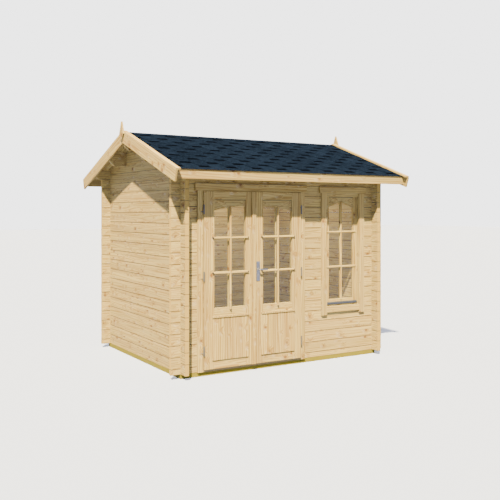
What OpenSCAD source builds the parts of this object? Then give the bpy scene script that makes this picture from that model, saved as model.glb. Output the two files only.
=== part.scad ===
// Garden log cabin: interlocking square logs on treated beams, a shingled saddle roof,
// a pair of glazed doors that open outwards and one tall fixed window beside them.
// Millimetres, +Z up. Origin on the ground under the middle of the four walls.
// The doors and the window are on the -Y side, the roof ridge runs along X.

/* [Walls] */
// Width over the outer faces of the side walls
wall_w = 2500; // [2460:5:2700]
// Depth over the outer faces of the front and rear walls
wall_d = 2000; // [1900:5:2200]
// Thickness of a wall log
log_t = 44; // [40:1:48]
// Height of one row of logs
log_h = 114; // [112:0.5:116]
// Bevel along the long edges of a log
log_bevel = 4; // [2:0.5:6]
// Length of the crossed log ends beyond the wall faces
log_end = 100; // [80:1:120]
// Height of the treated beams under the walls
beam_h = 44; // [36:1:60]
// Width of the treated beams
beam_w = 70; // [60:1:90]
// Thickness of the floor boards
floor_t = 16; // [14:1:18]

/* [Roof] */
// Slope of the roof in degrees
pitch = 19.6; // [18:0.2:21]
// Height cut off the top log at the wall's outer face by the slope
top_bevel = 21; // [16:1:26]
// Thickness of the roof boards
deck_t = 18; // [16:1:22]
// Thickness of the shingle layer
shingle_t = 6; // [4:0.5:8]
// Reach of the shingles in front of the eaves boards
shingle_out = 5; // [3:1:10]
// Distance from the gable wall to the outer face of the bargeboards
gable_over = 213; // [180:1:240]
// Distance from the front wall to the face of the eaves fascia
eaves_over = 273; // [250:1:290]
// Distance from the front wall to the top corner of the bargeboards
barge_over = 348; // [335:1:360]
// Thickness of bargeboards and fascias
barge_t = 18; // [16:1:22]
// Width of the bargeboards across the slope
barge_w = 112; // [100:1:125]
// Thickness of the cap laths on the bargeboards
cap_t = 16; // [12:1:20]
// Width of the cap laths
cap_w = 50; // [40:1:70]
// Height of the fascia's lower edge under the roof boards, at its face
fascia_h = 75; // [60:1:90]
// Depth of the purlins between ridge and eaves
purlin_h = 158; // [140:1:165]
// Depth of the ridge purlin
ridge_h = 173; // [160:1:180]
// Distance of the lower purlins from the ridge
purlin_y = 450; // [430:5:470]
// Corner cut under the ends of purlins and top logs
end_cut = 50; // [40:1:60]
// Width of the ridge finials at their shoulders
finial_w = 118; // [100:1:130]
// Width of the ridge finials at the tip
finial_tip = 9; // [6:1:14]
// Height of the finial tips above the bargeboards' meeting point
finial_up = 114; // [100:1:125]
// Reach of the finials below that point
finial_down = 95; // [80:1:105]

/* [Doors] */
// Share of the front wall's closed width that lies left of the doors
door_share = 0.28; // [0.25:0.01:0.31]
// Width over both door leaves
leaf_pair = 1183; // [1165:1:1195]
// Thickness of a door leaf
leaf_t = 40; // [38:1:42]
// How far the leaf face stands in front of the wall
leaf_proud = 36; // [34:1:38]
// Clear gap between a leaf and what surrounds it
leaf_gap = 5.5; // [5.2:0.1:6.5]
// Clear gap between the two leaves
meet_gap = 7; // [7:0.1:9]
// Distance of the meeting gap from the middle of the pair
meet_off = 14; // [12:0.5:16]
// Width of the stiles on the hinge side
stile_w = 116; // [110:1:120]
// Width of the right leaf's stile at the meeting gap
meet_stile = 87; // [80:1:94]
// Height of the bottom rails
low_rail_h = 90.5; // [84:0.5:98]
// Height of the middle rails' lower edge
rail_mid = 574; // [560:1:590]
// Height of the middle rails
mid_rail_h = 102; // [95:1:110]
// Height of the top rails
top_rail_h = 80; // [70:1:90]
// Height of the arched boards at the hinge side
arch_h = 113; // [105:1:120]
// Rise of the arch from the hinge side to the middle of the pair
pane_rise = 44; // [36:1:50]
// Setback of the arched boards behind the leaf face
arch_in = 12; // [10:0.5:13]
// Thickness of the arched boards
arch_t = 20; // [16:1:24]
// Depth of the lower panels behind the leaf face
panel_in = 28; // [24:1:34]
// Reach of the lower panels in front of the leaf face
panel_out = 9; // [6:0.5:10]
// Lap of the lower panels over the stiles
panel_lap = 26; // [20:1:32]
// Lap of the lower panels over the rails
panel_over = 6; // [4:0.5:8]
// Height of the drip mould along the top of a lower panel
mould_h = 18; // [14:1:22]
// Reach of the drip mould in front of its panel
mould_out = 10; // [8:0.5:11]
// Thickness of the jambs beside the leaves
jamb_t = 23; // [20:0.5:26]
// Height of the frame head over the leaves
head_h = 69; // [64:0.5:74]
// Width of the door casing boards
casing_w = 56; // [50:1:62]
// Thickness of the casing boards
casing_t = 22; // [20:0.5:24]
// Height of the boards across the tops of door and window
board_h = 80; // [74:1:86]
// Reach of those boards beyond the casings
board_over = 27; // [20:1:32]
// Reach of the door stops behind the leaves
stop_w = 14; // [11:0.5:17]
// Thickness of the threshold
sill_t = 18; // [15:0.5:20]
// Reach of the threshold in front of the wall
sill_out = 20; // [16:1:26]
// Width of the meeting strip
strip_w = 47; // [42:1:52]
// Thickness of the meeting strip
strip_t = 16; // [12:1:18]

/* [Fittings] */
// Radius of the hinge barrels
barrel_r = 7; // [6.5:0.1:7.3]
// Length of one half of a hinge barrel
barrel_l = 48; // [40:1:55]
// Radius of the hinge pins
pin_r = 3; // [2.5:0.1:3.5]
// Height of the lower hinges
hinge_low = 256; // [220:1:290]
// Height of the middle hinges
hinge_mid = 1000; // [960:1:1040]
// Height of the upper hinges
hinge_high = 1669; // [1630:1:1700]
// Distance of the lever's axis from the meeting edge of its leaf
lever_in = 26; // [22:0.5:30]
// Height of the lever's axis
lever_z = 1047; // [1030:1:1060]
// Width of the handle plates
plate_w = 41; // [36:1:43]
// Height of the handle plates
plate_h = 204; // [190:1:220]
// Length of the lever from its axis
lever_l = 98; // [90:1:110]
// Radius of the lever
lever_r = 8; // [7:0.5:9]
// Radius of the lever's spindle
spindle_r = 4; // [3.5:0.1:4.5]

/* [Window] */
// Share of the front wall's closed width that lies right of the window
win_share = 0.3; // [0.27:0.01:0.33]
// Width of the window opening in the logs
win_w = 500; // [490:1:510]
// Width of the window casing boards
win_casing = 70; // [64:1:74]
// Thickness of the window lining
lining_t = 18; // [16:0.5:20]
// Width of the window's stiles
sash_stile = 60; // [55:1:68]
// Setback of the sash behind the wall face
sash_back = 24; // [18:1:24]
// Thickness of the sash
sash_t = 20; // [18:1:22]
// Height of the window's lower lining board
lining_low_h = 33; // [28:1:40]
// Height of the window's bottom rail
sash_rail_h = 75; // [65:1:85]
// Height of the lining head over the sash
lining_head_h = 111; // [100:1:120]
// Height of the window's top rail at its sides
sash_head_h = 115; // [108:1:120]
// Rise of the arch over the window pane
win_rise = 52; // [46:1:58]
// Height of the window's head board over the lining head's lower edge
win_board_up = 38; // [30:1:46]
// Height of the sill strip's lower edge over the sash's lower edge
sill_up = 16; // [10:1:22]
// Height of the sill strip's front edge
sill_edge = 15; // [12:1:18]
// Fall of the sill strip to the front
sill_fall = 12; // [8:1:16]
// Reach of the sill strip in front of the sash
sill_reach = 14; // [10:1:18]
// Setback of the sill strip's ends from the sides of the sash
sill_end = 8; // [4:1:12]
// Height of the apron board
apron_h = 64; // [58:1:72]
// Reach of the side casings below the apron
casing_down = 29; // [22:1:35]
// Thickness of the panes
glass_t = 4; // [3:0.5:6]

/* [Hidden] */
$fn = 48;
// Gap between neighbouring boards and logs
gap = 0.3;
// Running clearance of a pin in its bore, on the radius
run = 0.05;
hx = wall_w/2;
hy = wall_d/2;
ty = tan(pitch);
cy = cos(pitch);
sy = sin(pitch);
rows = 18;
door_rows = 16;
win_rows = 4;
// First full front row starts half a log higher than the side rows
z_front = beam_h + log_h/2;
z_side_top = beam_h + rows*log_h;
z_front_top = z_front + rows*log_h;
z_apex = z_front_top - top_bevel + hy*ty;
open_top = z_front + door_rows*log_h;
win_open_low = z_front + win_rows*log_h;
x_in = hx + gable_over - barge_t;
x_out = hx + gable_over;
deck_v = deck_t/cy;
skin_v = (deck_t + shingle_t)/cy;
z_top = z_apex + skin_v;
hinge_z = [hinge_low, hinge_mid, hinge_high];
opening_w = leaf_pair + 2*(leaf_gap + jamb_t + gap);
closed_w = wall_w - opening_w - win_w;
door_x = -hx + door_share*closed_w + opening_w/2;
win_x = hx - win_share*closed_w - win_w/2;
door_l = door_x - opening_w/2;
door_r = door_x + opening_w/2;
leaf_l = door_x - leaf_pair/2;
leaf_r = door_x + leaf_pair/2;
meet_l = door_x + meet_off - meet_gap/2;
meet_r = door_x + meet_off + meet_gap/2;
leaf_low = beam_h + sill_t + leaf_gap;
leaf_top = open_top - head_h - leaf_gap;
rail_low = leaf_low + low_rail_h;
pane_low = rail_mid + mid_rail_h;
rail_top = leaf_top - top_rail_h;
pane_side = rail_top - arch_h;
pane_w = leaf_r - meet_r - stile_w - meet_stile;
y_face = -hy - leaf_proud;
y_back = y_face + leaf_t;
y_stop = y_back + leaf_gap;
y_inner = -hy + log_t;
// Hinge axes stand outside the leaf edge and in front of its face
axis_out = 2.5;
axis_fwd = barrel_r + 0.5;
hinge_y = y_face - axis_fwd;
stem_l = 1.5*(leaf_proud + axis_fwd);
lever_x = meet_r + lever_in;
win_l = win_x - win_w/2;
win_r = win_x + win_w/2;
sash_w = win_w - 2*(lining_t + 2*gap);
y_sash = -hy + sash_back;
sash_low = win_open_low + lining_low_h;
sash_top = open_top - lining_head_h;
win_low = sash_low + sash_rail_h;
win_side = sash_top - sash_head_h;
win_pane = sash_w - 2*sash_stile;
apron_top = sash_low - gap;
apron_low = apron_top - apron_h;
win_casing_low = apron_low - casing_down;

// Height of the underside of the roof boards at a distance from the ridge
function under(y) = z_apex - abs(y)*ty;

// Height of the tops of what carries the roof boards
function seat(y) = under(y) - gap;

// Which sub-part to draw

pine = [0.87, 0.74, 0.54];
pine_dark = [0.80, 0.66, 0.46];
treated = [0.55, 0.52, 0.25];
slate = [0.22, 0.25, 0.31];
zinc = [0.70, 0.72, 0.76];
sheet = [0.35, 0.42, 0.52];
pane = [0.75, 0.85, 0.88, 0.35];

// Section of a log, its lower outer corner at the origin, with bevelled long edges
function section(h) = [[log_bevel, 0], [log_t - log_bevel, 0], [log_t, log_bevel],
                       [log_t, h - log_bevel], [log_t - log_bevel, h], [log_bevel, h],
                       [0, h - log_bevel], [0, log_bevel]];

// A box given by its two corners
module box(a, b) {
  translate(a) cube(b - a);
}

// A prism along X from an outline in Y and Z
module prism_x(x0, x1, pts) {
  translate([x0, 0, 0]) rotate([90, 0, 90]) linear_extrude(height = x1 - x0) polygon(pts);
}

// A prism along Y from an outline in X and Z
module prism_y(y0, y1, pts) {
  translate([0, y1, 0]) rotate([90, 0, 0]) linear_extrude(height = y1 - y0) polygon(pts);
}

// A log along X with its outer face at y0, row from z to z + h
module log_x(x0, x1, y0, z, h) {
  translate([0, y0, z + gap/2]) prism_x(x0, x1, section(h - gap));
}

// A log along Y with one face at x0, row from z to z + h
module log_y(y0, y1, x0, z, h) {
  translate([x0, 0, z + gap/2]) prism_y(y0, y1, section(h - gap));
}

// The halving where a front or rear log crosses the side wall on side s
module halving_x(s, y0, z, h, low, high) {
  xa = s < 0 ? -hx - gap : hx - log_t - gap;
  xb = xa + log_t + 2*gap;
  if (low) box([xa, y0 - 1, z - 1], [xb, y0 + log_t + 1, z + log_h/4 + gap/2]);
  if (high) box([xa, y0 - 1, z + h - log_h/4 - gap/2], [xb, y0 + log_t + 1, z + h + 1]);
}

// The halving where a side log crosses the front or rear wall on side s
module halving_y(s, x0, z) {
  ya = s < 0 ? -hy - gap : hy - log_t - gap;
  yb = ya + log_t + 2*gap;
  box([x0 - 1, ya, z - 1], [x0 + log_t + 1, yb, z + log_h/4 + gap/2]);
  box([x0 - 1, ya, z + log_h*3/4 - gap/2], [x0 + log_t + 1, yb, z + log_h + 1]);
}

// A front or rear log between two places, halved over the side walls that it crosses
module cross_log(x0, x1, y0, z, h, low) {
  difference() {
    log_x(x0, x1, y0, z, h);
    if (x0 < -hx) halving_x(-1, y0, z, h, low, true);
    if (x1 > hx) halving_x(1, y0, z, h, low, true);
  }
}

// Rows of front logs between two places: the half log if asked for, then rows a to b
module log_rows(x0, x1, y0, half, a, b) {
  if (half) cross_log(x0, x1, y0, beam_h, log_h/2, false);
  for (k = [a : b]) cross_log(x0, x1, y0, z_front + k*log_h, log_h, true);
}

// The long top log under the roof, bevelled to the slope, its ends cut underneath
module top_log(s) {
  y0 = s < 0 ? -hy : hy - log_t;
  z0 = z_front_top - log_h;
  yo = s*hy;
  yi = s*(hy - log_t);
  intersection() {
    difference() {
      log_x(-x_in, x_in, y0, z0, log_h);
      halving_x(-1, y0, z0, log_h, true, false);
      halving_x(1, y0, z0, log_h, true, false);
    }
    prism_x(-x_in, x_in, [[yo, z0], [yi, z0], [yi, seat(yi)], [yo, seat(yo)]]);
    prism_y(y0, y0 + log_t, [[-x_in, z0 + end_cut], [-x_in + end_cut, z0], [x_in - end_cut, z0],
                             [x_in, z0 + end_cut], [x_in, z0 + 2*log_h], [-x_in, z0 + 2*log_h]]);
  }
}

module base_beams() {
  color(treated) {
    for (s = [-1, 1]) {
      box([-hx, s < 0 ? -hy : hy - beam_w, 0], [hx, s < 0 ? -hy + beam_w : hy, beam_h]);
      box([s < 0 ? -hx : hx - beam_w, -hy + beam_w + gap, 0],
          [s < 0 ? -hx + beam_w : hx, hy - beam_w - gap, beam_h]);
    }
  }
}

module floor_boards() {
  color(pine_dark)
    box([-hx + log_t + gap, -hy + log_t + gap, beam_h], [hx - log_t - gap, hy - log_t - gap, beam_h + floor_t]);
}

module front_wall_left() {
  color(pine) log_rows(-hx - log_end, door_l, -hy, true, 0, door_rows - 1);
}

module front_wall_middle() {
  color(pine) log_rows(door_r, win_l, -hy, false, win_rows, door_rows - 1);
}

module front_wall_right() {
  color(pine) log_rows(win_r, hx + log_end, -hy, false, win_rows, door_rows - 1);
}

module front_wall_low() {
  color(pine) log_rows(door_r, hx + log_end, -hy, true, 0, win_rows - 1);
}

module front_wall_top() {
  color(pine) {
    log_rows(-hx - log_end, hx + log_end, -hy, false, door_rows, rows - 2);
    top_log(-1);
  }
}

module rear_wall() {
  color(pine) {
    log_rows(-hx - log_end, hx + log_end, hy - log_t, true, 0, rows - 2);
    top_log(1);
  }
}

// A side wall with its outer face at s*hx
module side_wall(s) {
  x0 = s < 0 ? -hx : hx - log_t;
  for (j = [0 : rows - 1]) {
    z = beam_h + j*log_h;
    difference() {
      log_y(-hy - log_end, hy + log_end, x0, z, log_h);
      halving_y(-1, x0, z);
      halving_y(1, x0, z);
    }
  }
}

module left_wall() {
  color(pine_dark) side_wall(-1);
}

module right_wall() {
  color(pine_dark) side_wall(1);
}

// Outline of a purlin at distance y from the ridge, widened by c and run up past the roof by u
function purlin_cut(y, h, c, u) = [[y - log_t/2 - c, under(y) - h - c], [y + log_t/2 + c, under(y) - h - c],
                                   [y + log_t/2 + c, under(y) + u], [y - log_t/2 - c, under(y) + u]];

// The logs of a gable above the side wall, cut to the slope and pocketed for the purlins
module gable(s) {
  x0 = s < 0 ? -hx : hx - log_t;
  yl = hy - log_t - gap;
  n = ceil((z_apex - z_side_top - 20)/log_h);
  difference() {
    for (j = [0 : n - 1]) {
      z = z_side_top + j*log_h;
      intersection() {
        log_y(-yl, yl, x0, z, log_h);
        prism_x(x0, x0 + log_t, [[-yl, z_side_top], [yl, z_side_top], [yl, seat(yl)], [0, seat(0)],
                                 [-yl, seat(yl)]]);
      }
    }
    prism_x(x0 - 1, x0 + log_t + 1, purlin_cut(-purlin_y, purlin_h, gap, 60));
    prism_x(x0 - 1, x0 + log_t + 1, purlin_cut(purlin_y, purlin_h, gap, 60));
    prism_x(x0 - 1, x0 + log_t + 1, purlin_cut(0, ridge_h, gap, 60));
  }
}

module left_gable() {
  color(pine_dark) gable(-1);
}

module right_gable() {
  color(pine_dark) gable(1);
}

// A purlin at distance y from the ridge, bevelled to the roof, its ends cut underneath
module purlin(y, h) {
  ya = y - log_t/2;
  yb = y + log_t/2;
  z0 = under(y) - h;
  top = y == 0 ? [[yb, seat(yb)], [0, seat(0)], [ya, seat(ya)]] : [[yb, seat(yb)], [ya, seat(ya)]];
  intersection() {
    prism_x(-x_in, x_in, concat([[ya, z0], [yb, z0]], top));
    prism_y(ya, yb, [[-x_in, z0 + end_cut], [-x_in + end_cut, z0], [x_in - end_cut, z0],
                     [x_in, z0 + end_cut], [x_in, z0 + 2*h], [-x_in, z0 + 2*h]]);
  }
}

module purlins() {
  color(pine) {
    purlin(-purlin_y, purlin_h);
    purlin(0, ridge_h);
    purlin(purlin_y, purlin_h);
  }
}

// Outline of a sloping layer on side s, from the ridge to distance e, between two heights
function layer(s, e, a, b) = [[s*gap/2, under(gap/2) + a], [s*e, under(e) + a],
                              [s*e, under(e) + b], [s*gap/2, under(gap/2) + b]];

module roof_boards() {
  color(pine_dark) for (s = [-1, 1]) prism_x(-x_in, x_in, layer(s, hy + eaves_over - barge_t, 0, deck_v));
}

module roof_shingles() {
  color(slate) for (s = [-1, 1]) prism_x(-x_in, x_in, layer(s, hy + eaves_over + shingle_out, deck_v + gap, skin_v));
}

// Outline of a board along the slope on side s, w wide below the line that is v over the boards,
// mitred at the ridge and cut square at its lower end
function slope_board(s, v, w) = let (e = hy + barge_over, zb = under(e) + v)
  [[s*gap/2, under(gap/2) + v], [s*e, zb], [s*(e - w*sy), zb - w*cy], [s*gap/2, under(gap/2) + v - w/cy]];

module barge_boards() {
  color(pine) for (t = [-1, 1], s = [-1, 1])
    prism_x(t < 0 ? -x_out : x_in, t < 0 ? -x_in : x_out, slope_board(s, skin_v, barge_w));
}

// Laths on the bargeboards, lapping over the shingles
module barge_caps() {
  color(pine_dark) for (t = [-1, 1], s = [-1, 1])
    prism_x(t < 0 ? -x_out : x_out - cap_w, t < 0 ? -x_out + cap_w : x_out,
            slope_board(s, skin_v + gap + cap_t/cy, cap_t));
}

// Half width of a finial at a share t of the way from its shoulders to its tip, in a slightly hollow curve
function spire(t) = finial_tip/2 + (finial_w - finial_tip)/2*pow(1 - t, 1.15);

// One side of a finial, from its shoulder to its tip
function finial_side(s) = let (foot = z_top - finial_w/2*ty)
  [for (i = [0 : 8]) [s*spire(i/8), foot + i/8*(z_top + finial_up - foot)]];

// Pointed boards on the faces of the bargeboards at the ridge
module finials() {
  up = finial_side(1);
  down = finial_side(-1);
  color(pine) for (t = [-1, 1])
    prism_x(t < 0 ? -x_out - barge_t : x_out, t < 0 ? -x_out : x_out + barge_t,
            concat([[0, z_top - finial_down]], up, [for (i = [8 : -1 : 0]) down[i]]));
}

// Boards along the eaves, their tops cut to the slope under the shingles
module fascias() {
  color(pine) for (s = [-1, 1]) {
    a = hy + eaves_over - barge_t;
    b = hy + eaves_over;
    prism_x(-x_in, x_in, [[s*a, under(b) - fascia_h], [s*b, under(b) - fascia_h],
                          [s*b, under(b) + deck_v], [s*a, under(a) + deck_v]]);
  }
}

// Jambs with their stops, and the head over them
module door_frame() {
  color(pine_dark) {
    for (s = [-1, 1])
      translate([door_x, 0, beam_h]) linear_extrude(height = open_top - head_h - gap - beam_h)
        polygon([[s*(opening_w/2 - gap), -hy], [s*(opening_w/2 - gap), y_inner],
                 [s*(leaf_pair/2 - stop_w), y_inner], [s*(leaf_pair/2 - stop_w), y_stop],
                 [s*(leaf_pair/2 + leaf_gap), y_stop], [s*(leaf_pair/2 + leaf_gap), -hy]]);
    box([door_l + gap, -hy, open_top - head_h], [door_r - gap, y_inner, open_top - gap]);
    box([leaf_l + stop_w + gap, y_stop, leaf_top - stop_w],
        [leaf_r - stop_w - gap, y_inner, open_top - head_h]);
  }
}

module door_casing() {
  color(pine) {
    for (s = [-1, 1]) {
      xa = door_x + s*(leaf_pair/2 + leaf_gap);
      box([min(xa, xa + s*casing_w), -hy - casing_t, beam_h],
          [max(xa, xa + s*casing_w), -hy, open_top - head_h - gap]);
    }
    box([leaf_l - leaf_gap - casing_w - board_over, -hy - casing_t, open_top - head_h],
        [leaf_r + leaf_gap + casing_w + board_over, -hy, open_top - head_h + board_h]);
  }
}

module door_threshold() {
  a = leaf_pair/2 + leaf_gap - gap;
  b = leaf_pair/2 - stop_w - gap;
  color(zinc) translate([door_x, 0, beam_h]) linear_extrude(height = sill_t)
    polygon([[-a, -hy - sill_out], [a, -hy - sill_out], [a, y_stop - gap], [b, y_stop - gap], [b, y_inner],
             [-b, y_inner], [-b, y_stop - gap], [-a, y_stop - gap]]);
}

// The lower halves of the hinges with their pins, their stems on the casing
module hinge_pins() {
  color(zinc) for (s = [-1, 1], z = hinge_z) {
    x = door_x + s*(leaf_pair/2 + axis_out);
    difference() {
      union() {
        translate([x, hinge_y, z - barrel_l]) cylinder(r = barrel_r, h = barrel_l - gap);
        translate([x, hinge_y, z - barrel_l]) cylinder(r = pin_r, h = 2*barrel_l - 8);
        translate([x, hinge_y, z - barrel_l/2]) rotate([0, 0, 90 - s*45])
          rotate([0, 90, 0]) cylinder(r = barrel_r/2, h = stem_l);
      }
      box([x - stem_l, -hy - casing_t, z - 2*barrel_l], [x + stem_l, y_back + stem_l, z + 2*barrel_l]);
    }
  }
}

// The upper halves of the hinges of the leaf on side s, their stems on the leaf face
module hinge_tops(s) {
  x = door_x + s*(leaf_pair/2 + axis_out);
  color(zinc) for (z = hinge_z)
    difference() {
      union() {
        translate([x, hinge_y, z]) cylinder(r = barrel_r, h = barrel_l);
        translate([x, hinge_y, z + barrel_l/2]) rotate([0, 0, s < 0 ? 45 : 135])
          rotate([0, 90, 0]) cylinder(r = barrel_r/2, h = stem_l);
      }
      translate([x, hinge_y, z - 1]) cylinder(r = pin_r + run, h = barrel_l - 5);
      box([x - stem_l, y_face, z - 2*barrel_l], [x + stem_l, y_back + stem_l, z + 2*barrel_l]);
    }
}

module left_leaf_hinges() {
  hinge_tops(-1);
}

module right_leaf_hinges() {
  hinge_tops(1);
}

// Left edge of the glass opening of each leaf
pane_l = leaf_l + stile_w;
pane_r = leaf_r - stile_w - pane_w;

module left_leaf_stiles() {
  color(pine) {
    box([leaf_l, y_face, leaf_low], [pane_l, y_back, leaf_top]);
    box([pane_l + pane_w, y_face, leaf_low], [meet_l, y_back, leaf_top]);
  }
}

module right_leaf_stiles() {
  color(pine) {
    box([pane_r + pane_w, y_face, leaf_low], [leaf_r, y_back, leaf_top]);
    difference() {
      box([meet_r, y_face, leaf_low], [pane_r, y_back, leaf_top]);
      translate([lever_x, y_back + 1, lever_z]) rotate([90, 0, 0]) cylinder(r = 2*spindle_r, h = leaf_t + 2);
    }
  }
}

// Bottom, middle and top rails of a leaf whose glass opening starts at x
module rails(x) {
  color(pine) {
    box([x, y_face, leaf_low], [x + pane_w, y_back, rail_low]);
    box([x, y_face, rail_mid], [x + pane_w, y_back, pane_low]);
    box([x, y_face, rail_top], [x + pane_w, y_back, leaf_top]);
  }
}

module left_leaf_rails() {
  rails(pane_l);
}

module right_leaf_rails() {
  rails(pane_r);
}

// Top edge of a leaf's glass opening, v below the arch, from the hinge side at xa to the meeting side at xb
function arch(xa, xb, v) = [for (i = [0 : 8])
  [xa + i/8*(xb - xa), pane_side + pane_rise*(1 - pow(1 - i/8, 2)) - v]];

// The lower panel with the mould along its top, and the arched board under the top rail
module panels(xa, xb) {
  x = min(xa, xb);
  lo = x - panel_lap;
  hi = x + pane_w + panel_lap;
  color(pine_dark) {
    union() {
      box([x, y_face - 1, rail_low], [x + pane_w, y_face + panel_in, rail_mid]);
      box([lo, y_face - panel_out, rail_low - panel_over], [hi, y_face, rail_mid + panel_over + 1]);
      box([lo, y_face - panel_out - mould_out, rail_mid + panel_over],
          [hi, y_face, rail_mid + panel_over + mould_h]);
    }
    prism_y(y_face + arch_in, y_face + arch_in + arch_t,
            concat(arch(xa, xb, 0), [[xb, rail_top], [xa, rail_top]]));
  }
}

module left_leaf_panels() {
  panels(pane_l, pane_l + pane_w);
}

module right_leaf_panels() {
  panels(pane_r + pane_w, pane_r);
}

// The pane of a leaf, arched at the top
module leaf_pane(xa, xb) {
  ym = y_face + leaf_t/2;
  color(pane) prism_y(ym - glass_t/2, ym + glass_t/2,
                      concat([[xb, pane_low], [xa, pane_low]], arch(xa, xb, gap)));
}

module left_leaf_glass() {
  leaf_pane(pane_l, pane_l + pane_w);
}

module right_leaf_glass() {
  leaf_pane(pane_r + pane_w, pane_r);
}

module left_leaf_strip() {
  color(pine) box([meet_l - strip_w, y_face - strip_t, leaf_low], [meet_l, y_face, leaf_top]);
}

// Long plates inside and outside with a keyhole boss below the lever
module handle_plates() {
  color(zinc) for (s = [-1, 1]) {
    ya = s < 0 ? y_face - 4 : y_back;
    difference() {
      union() {
        box([lever_x - plate_w/2, ya, lever_z - 0.6*plate_h],
            [lever_x + plate_w/2, ya + 4, lever_z + 0.4*plate_h]);
        translate([lever_x, s < 0 ? y_face : y_back, lever_z - 62]) rotate([s < 0 ? 90 : -90, 0, 0])
          cylinder(r = 8, h = 7);
      }
      translate([lever_x, ya + 10, lever_z]) rotate([90, 0, 0]) cylinder(r = spindle_r + run, h = 20);
    }
  }
}

// Spindle with a lever on each side, both pointing away from the meeting edge
module lever() {
  ya = y_face - 4.5;
  yb = y_back + 4.5;
  color(zinc) {
    translate([lever_x, yb + 1, lever_z]) rotate([90, 0, 0]) cylinder(r = spindle_r, h = yb - ya + 2);
    for (s = [-1, 1]) {
      y0 = s < 0 ? ya : yb;
      yc = y0 + s*38;
      translate([lever_x, y0, lever_z]) rotate([s < 0 ? 90 : -90, 0, 0]) cylinder(r = lever_r, h = 38);
      translate([lever_x, yc, lever_z]) rotate([0, 90, 0]) cylinder(r = lever_r, h = lever_l - lever_r);
      translate([lever_x, yc, lever_z]) sphere(r = lever_r);
      translate([lever_x + lever_l - lever_r, yc, lever_z]) sphere(r = lever_r);
    }
  }
}

module window_lining() {
  color(pine_dark) {
    for (s = [-1, 1]) {
      xa = s < 0 ? win_l + gap : win_r - lining_t - gap;
      box([xa, -hy, win_open_low + gap], [xa + lining_t, y_inner, open_top - gap]);
    }
    box([win_l + lining_t + 2*gap, -hy, sash_top + gap], [win_r - lining_t - 2*gap, y_inner, open_top - gap]);
    box([win_l + lining_t + 2*gap, -hy, win_open_low + gap],
        [win_r - lining_t - 2*gap, y_inner, sash_low - gap]);
  }
}

module window_casing() {
  xi = win_w/2 - lining_t - gap;
  z_board = sash_top + win_board_up;
  color(pine) {
    for (s = [-1, 1]) {
      xa = win_x + s*xi;
      box([min(xa, xa + s*win_casing), -hy - casing_t, win_casing_low],
          [max(xa, xa + s*win_casing), -hy, z_board - gap]);
    }
    box([win_x - xi - win_casing - board_over, -hy - casing_t, z_board],
        [win_x + xi + win_casing + board_over, -hy, z_board + board_h]);
    box([win_x - xi + gap, -hy - casing_t, apron_low], [win_x + xi - gap, -hy, apron_top]);
  }
}

// Bent strip on the bottom rail that sheds water over the apron
module window_sill() {
  xi = sash_w/2 - sill_end;
  z = sash_low + sill_up;
  color(sheet) prism_x(win_x - xi, win_x + xi, [[y_sash, z], [y_sash - sill_reach, z],
                                               [y_sash - sill_reach, z + sill_edge],
                                               [y_sash, z + sill_edge + sill_fall]]);
}

// Top edge of the window's glass opening, v below the arch
function win_arch(v) = [for (i = [-6 : 6])
  [win_x + i/6*win_pane/2, win_side + win_rise*(1 - pow(abs(i)/6, 1.3)) - v]];

module window_stiles() {
  color(pine) for (s = [-1, 1])
    box([s < 0 ? win_x - sash_w/2 : win_x + win_pane/2, y_sash, sash_low],
        [s < 0 ? win_x - win_pane/2 : win_x + sash_w/2, y_sash + sash_t, sash_top]);
}

module window_rails() {
  p = win_pane/2;
  color(pine) {
    box([win_x - p, y_sash, sash_low], [win_x + p, y_sash + sash_t, win_low]);
    prism_y(y_sash, y_sash + sash_t, concat(win_arch(0), [[win_x + p, sash_top], [win_x - p, sash_top]]));
  }
}

module window_glass() {
  p = win_pane/2;
  ym = y_sash + sash_t/2;
  color(pane) prism_y(ym - glass_t/2, ym + glass_t/2,
                      concat([[win_x + p, win_low], [win_x - p, win_low]], win_arch(gap)));
}

base_beams();
floor_boards();
front_wall_left();
front_wall_middle();
front_wall_right();
front_wall_low();
front_wall_top();
rear_wall();
left_wall();
right_wall();
left_gable();
right_gable();
purlins();
roof_boards();
roof_shingles();
barge_boards();
barge_caps();
finials();
fascias();
door_frame();
door_casing();
door_threshold();
hinge_pins();
left_leaf_stiles();
left_leaf_rails();
left_leaf_panels();
left_leaf_glass();
left_leaf_strip();
left_leaf_hinges();
right_leaf_stiles();
right_leaf_rails();
right_leaf_panels();
right_leaf_glass();
right_leaf_hinges();
handle_plates();
lever();
window_lining();
window_casing();
window_sill();
window_stiles();
window_rails();
window_glass();
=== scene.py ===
import math
import random
import bmesh
import bpy
from mathutils import Matrix, Vector


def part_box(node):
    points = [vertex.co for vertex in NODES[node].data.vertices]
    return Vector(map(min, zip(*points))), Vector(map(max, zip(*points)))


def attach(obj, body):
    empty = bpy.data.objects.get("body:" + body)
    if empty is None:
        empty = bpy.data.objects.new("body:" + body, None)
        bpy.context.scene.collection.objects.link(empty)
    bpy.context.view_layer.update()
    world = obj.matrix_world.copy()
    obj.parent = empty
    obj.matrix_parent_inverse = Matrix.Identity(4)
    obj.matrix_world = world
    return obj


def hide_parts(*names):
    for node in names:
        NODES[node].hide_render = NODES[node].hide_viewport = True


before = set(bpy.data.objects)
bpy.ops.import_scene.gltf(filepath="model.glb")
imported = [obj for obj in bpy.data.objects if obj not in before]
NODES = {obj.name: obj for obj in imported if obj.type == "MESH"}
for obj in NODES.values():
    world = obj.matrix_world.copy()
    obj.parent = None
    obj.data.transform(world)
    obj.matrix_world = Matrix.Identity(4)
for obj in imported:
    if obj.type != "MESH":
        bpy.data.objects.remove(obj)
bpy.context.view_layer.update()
rng = random.Random(9264)

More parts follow.
